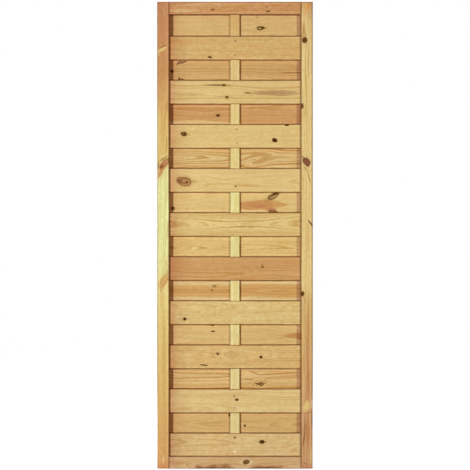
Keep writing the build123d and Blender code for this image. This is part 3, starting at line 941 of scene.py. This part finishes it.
FRONT_SLATS = {
    "front_slat_01": dict(
        tones="DBB675", seed=21.4, rings=Rings(-50, 36), lines=0.25, mottle=0.5,
        knots=[Knot(-97, -35, 8.5, 4, -12, 0.75), bruise(1, 27, 3, 3, 0.55), bruise(1, -27, 4, 2, 0.3)],
    ),
    "front_slat_02": dict(
        tones="E5C785", seed=22.8, rings=Rings(-4, 30, 6, 0.03), lines=0.4,
        knots=[
            Knot(-43, 27, 7, 5, 0, 0.65, 0.2, 1.0, "7C6428"), Knot(-31, -19, 6.5, 5, 0, 0.75),
            bruise(4, -27, 3, 2, 0.2),
        ],
        stains=[
            Stain(-85, 27, 50, 3.2, -0.5, 0.85, "80702F"), Stain(-25, 25, 22, 2.4, 0.5, 0.5, "A97F4D"),
            Stain(-48, -18, 30, 2, -0.4, 0.5), Stain(-18, -19, 18, 1.8, 0.4, 0.5),
            Stain(157, -3, 98, 12, 0, 0.5, "A07844", soft=0.1),
            Stain(160, -3, 90, 9, 0, 0.65, "CCA676", soft=0.1), Stain(165, -3, 70, 2.6, 0, 0.4, "96703F"),
            Stain(50, -3, 18, 2.6, 0, 1.0, "6E4A20"), Stain(-190, -8, 80, 6, 0, 0.3, "A97F4D"),
        ],
    ),
    "front_slat_03": dict(
        tones="E5C783", seed=23.3, rings=Rings(70, 44), lines=0.18,
        knots=[
            Knot(-197, 9, 12, 9, -12, 0.9, 0.4, 1.0, "7C4C10"),
            Knot(-199, 12, 4, 1.6, 80, 0.46, 1.0, 0, "B08446", 0.0), Knot(153, -15, 11, 8, -22, 1.0, 0.0),
            Knot(200, 43, 9, 4, 0, 0.8), bruise(5, 27, 4.5, 2, 0.35), bruise(8, -27, 3, 2, 0.3),
        ],
        stains=[Stain(-192, 8, 30, 8, 0, 0.45, "C89A58", -8, soft=0.6)],
    ),
    "front_slat_04": dict(
        tones="E6C885", seed=24.6, rings=Rings(-2, 60, 2.5, 0, -0.08, 0.4), lines=0.25, mottle=0.25,
        knots=[
            Knot(-196, -4, 32, 19, -10, 0.5, 1.0, 1.6, "C8945A", 0.4),
            Knot(-211, -3, 13, 9, -6, 0.28, 0, 0, "9A6030"),
            Knot(-194, 8, 20, 3.5, -14, 0.2, 0, 0, "A06A3A"),
            Knot(-198, -10, 13, 3, -8, 0.25, 0, 0, "9A6030"),
            Knot(-199, -4, 6, 2.5, 10, 0.45, 1.0, 0, "D6A876", 0),
            Knot(-186, -7, 5, 5, -40, 0.42, 0, 0, "7A4418"), bruise(3, -23, 3.5, 3, 0.6),
        ],
        stains=[
            Stain(45, -20, 60, 5, 0, 0.4, "CC9052"), Stain(-160, -4, 26, 7, 0.5, 0.5, "B98850", soft=0.5),
        ],
    ),
    "front_slat_05": dict(
        tones="E7CB87", seed=25.9, rings=Rings(2, 70, 2.2, 0, -0.06, 0.3), lines=0.85,
        knots=[bruise(1, -27, 3, 2, 0.15)],
    ),
    "front_slat_06": dict(
        tones="D5A56A", seed=26.5, rings=Rings(-20, 18, 5, 0.012), lines=0.45,
        knots=[Knot(106, 7, 6, 4.5, 0, 0.36), Knot(106, 17, 6, 2, 0, 0.15)],
        stains=[Stain(20, -22, 150, 12, 0, 0.3, "D6A45E")],
    ),
    "front_slat_07": dict(
        tones="E4C785", seed=27.2, rings=Rings(26, 34, 3, 0.02, 0, 0.7), lines=0.35, mottle=0.5,
        knots=[Knot(-194, -24, 6.5, 6, 0, 1.0, 0.0)],
        stains=[Stain(-194, -24.5, 34, 1.3, 0, 0.7, "6B4A2A")],
    ),
    "front_slat_08": dict(
        tones="E0BD7C", seed=28.7, rings=Rings(12, 26, 3, 0.02), lines=0.4, mottle=0.6,
        knots=[
            Knot(-67, 12, 6, 5, 0, 0.72), Knot(100, -1, 6.5, 5.5, -10, 0.9, 0.0),
            Knot(-16, 8, 27, 14, 0, 0.18, 1.0, 1.6, "DEAC68", 0.8),
        ],
        stains=[Stain(-120, -32, 17, 2.6, 0, 1.0, "3E2408", -6, 0.6)],
    ),
    "front_slat_09": dict(
        tones="E5C787", seed=29.1, rings=Rings(-30, 34, 5, 0.015), lines=0.3,
        knots=[Knot(7, 5, 7, 5.5, 0, 0.85), bruise(-3, 19, 3.5, 2.5, 0.5), bruise(-1, -26, 3, 2, 0.2)],
    ),
    "front_slat_10": dict(
        tones="E0C084", seed=30.8, rings=Rings(8, 32, 4, 0.03), lines=0.35, mottle=0.6,
        knots=[Knot(104, 12, 10.5, 8, 0, 0.95, 0.1), bruise(0, 29, 4.5, 3.5, 0.55)],
        stains=[
            Stain(104, 12, 24, 3, 0, 0.6, "6C4A20"),
            # Painted glint: a white spot on the wood at the lower staple, for the light off its bright head.
            Stain(0, -25, 5.5, 5, 0, 1.0, "FFF0C8", sharp=0.5, soft=0.1),
        ],
    ),
}
for name, look in FRONT_SLATS.items():
    slat(name, -1, look)


# Staples
# Wire staples, two through each slat into the middle batten, shot just under the face with their crowns
# along the board. The weather has browned them all but one at the foot of the front.
STAPLE_WIRE_WIDTH = 1.2 * MM
STAPLE_WIRE_THICKNESS = 1.0 * MM
STAPLE_BEND = 0.8 * MM


def staple_tree():
    """Geometry nodes for wire staples, each with the middle of its crown at a point."""
    tree, given, result = group(
        "GeometryNodeTree", "wire_staples",
        ["Geometry:Geometry", "Crown", "Leg", "Wire Width", "Wire Thickness", "Bend", "Turn:Vector",
         "Material:Material"],
        ["Geometry:Geometry"],
    )
    leg = given["Leg"]
    half = times(tree, calc(tree, "SUBTRACT", given["Crown"], given["Wire Thickness"]), 0.5)
    left = times(tree, half, -1.0)
    index = put(tree, "GeometryNodeInputIndex").outputs[0]
    sideways = pick(tree, index, (left, left, half, half))
    inwards = pick(tree, index, (leg, 0.0, 0.0, leg))
    line = four_points(tree, joined(tree, x=sideways, z=inwards))
    feeds = {"Curve": line, "Count": 5, "Radius": given["Bend"]}
    line = put(tree, "GeometryNodeFilletCurve", feeds, mode="POLY").outputs[0]
    feeds = {"Width": given["Wire Thickness"], "Height": given["Wire Width"]}
    wire = put(tree, "GeometryNodeCurvePrimitiveQuadrilateral", feeds).outputs[0]
    feeds = {"Points": given["Geometry"], "Instance": swept(tree, line, wire), "Rotation": given["Turn"]}
    staples = put(tree, "GeometryNodeInstanceOnPoints", feeds).outputs[0]
    made_of(tree, result, staples, given["Material"])
    return tree


def browned_wire(bright_below):
    """Steel wire that the weather has browned, but for what lies below a height."""
    material = steel("rusty_wire", "5A3A1E", "8A6238", 0.4)
    tree = material.node_tree
    colour = tree.nodes["Principled BSDF"].inputs["Base Color"]
    rust = colour.links[0].from_socket
    where = put(tree, "ShaderNodeTexCoord").outputs["Object"]
    height = parts(tree, where)["Z"]
    still_bright = calc(tree, "LESS_THAN", height, bright_below)
    tree.links.new(blend(tree, still_bright, rust, linear("FFF6DC")), colour)
    return material


wire_staples = staple_tree()
lowest_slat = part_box("front_slat_10")
rusty_wire = browned_wire((lowest_slat[0][2] + lowest_slat[1][2]) / 2)
for layer, outward, boards in (("front", -1, FRONT_SLATS), ("back", 1, BACK_SLATS)):
    low, high = (Vector(corner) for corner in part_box(layer + "_staples"))
    crown_y = (low.y if outward < 0 else high.y) - outward * STAPLE_WIRE_THICKNESS / 2
    middles = [(bottom[2] + top[2]) / 2 for bottom, top in map(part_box, boards)]
    rise = high.z - STAPLE_WIRE_WIDTH / 2 - middles[0]
    staples = grown(
        layer + "_wire_staples", wire_staples,
        {
            "Crown": high.x - low.x, "Leg": high.y - low.y - STAPLE_WIRE_THICKNESS / 2,
            "Wire Width": STAPLE_WIRE_WIDTH, "Wire Thickness": STAPLE_WIRE_THICKNESS, "Bend": STAPLE_BEND,
            "Turn": (outward * math.radians(90), 0.0, 0.0), "Material": rusty_wire,
        },
        [(0.0, crown_y, middle + side * rise) for middle in middles for side in (-1, 1)],
    )
    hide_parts(layer + "_staples")
    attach(staples, "root")


# Floor and sky
# A plain white floor under a white sky, which lights the panel only a little.
FLOOR_HALF = 12.0
AMBIENT = 0.03
floor_mesh = bpy.data.meshes.new("floor")
corners = [(x * FLOOR_HALF, y * FLOOR_HALF, 0.0) for x, y in ((-1, -1), (1, -1), (1, 1), (-1, 1))]
floor_mesh.from_pydata(corners, [], [range(4)])
floor = bpy.data.objects.new("floor", floor_mesh)
bpy.context.scene.collection.objects.link(floor)
floor_white = bpy.data.materials.new("floor_white")
floor_white.use_nodes = True
shader = floor_white.node_tree.nodes["Principled BSDF"]
shader.inputs["Base Color"].default_value = (0.85, 0.85, 0.85, 1.0)
shader.inputs["Roughness"].default_value = 0.9
shader.inputs["Emission Color"].default_value = (1.0, 1.0, 1.0, 1.0)
shader.inputs["Emission Strength"].default_value = 1.0
floor_mesh.materials.append(floor_white)
floor.visible_diffuse = False
floor.visible_glossy = False

world = bpy.data.worlds.new("white_sky")
bpy.context.scene.world = world
world.use_nodes = True
sky = world.node_tree
seen = put(sky, "ShaderNodeLightPath").outputs["Is Camera Ray"]
strength = calc(sky, "MULTIPLY_ADD", seen, 1.0 - AMBIENT, AMBIENT)
sky.links.new(strength, sky.nodes["Background"].inputs["Strength"])
sky.nodes["Background"].inputs["Color"].default_value = (1.0, 1.0, 1.0, 1.0)


# Lights
# One tall strip light stands to the left of the camera and a weaker one to the right, so each stile and
# the batten throw a hard shadow from one and a faint one from the other. More strips light the other sides.
panel_middle = (Vector(cad_box[0]) + Vector(cad_box[1])) / 2
LIGHT_DISTANCE = 6.0


def strip_light(name, turn, power, tint, rise=0.0, width=0.3, height=2.4):
    """A tall strip light, so many degrees to the left of the camera's line, and raised by a slope."""
    data = bpy.data.lights.new(name, "AREA")
    data.shape = "RECTANGLE"
    data.size, data.size_y = width, height
    data.energy = power
    data.color = tint
    light = bpy.data.objects.new(name, data)
    bpy.context.scene.collection.objects.link(light)
    angle = math.radians(turn)
    away = Vector((-math.sin(angle), -math.cos(angle), rise)).normalized()
    light.location = panel_middle + away * LIGHT_DISTANCE
    light.rotation_euler = away.to_track_quat("Z", "Y").to_euler()


COOL = (0.877, 0.936, 1.0)
WARM = (1.0, 0.826, 0.671)
strip_light("key_strip", 36, 377, COOL)
strip_light("fill_strip", -36, 134, WARM)
strip_light("back_key_strip", 145, 245, COOL, rise=0.4)
strip_light("back_fill_strip", -145, 100, WARM, rise=0.4)
strip_light("right_side_strip", -115, 230, COOL)
strip_light("top_strip", 180, 120, COOL, rise=2.0, width=1.2)


# Camera
# It looks straight at the panel from the front at half its height, through a long lens from far away.
CAMERA_DISTANCE = 14.0
PICTURE_WIDTH = 1.8117
CAMERA_RAISE = 1.1 * MM
camera_data = bpy.data.cameras.new("camera")
camera = bpy.data.objects.new("camera", camera_data)
bpy.context.scene.collection.objects.link(camera)
bpy.context.scene.camera = camera
camera.location = (0.0, cad_box[0][1] - CAMERA_DISTANCE, panel_middle.z + CAMERA_RAISE)
camera.rotation_euler = (math.radians(90), 0, 0)
camera_data.lens = camera_data.sensor_width * CAMERA_DISTANCE / PICTURE_WIDTH
camera_data.clip_end = 100.0
bpy.context.scene.view_settings.view_transform = "Standard"
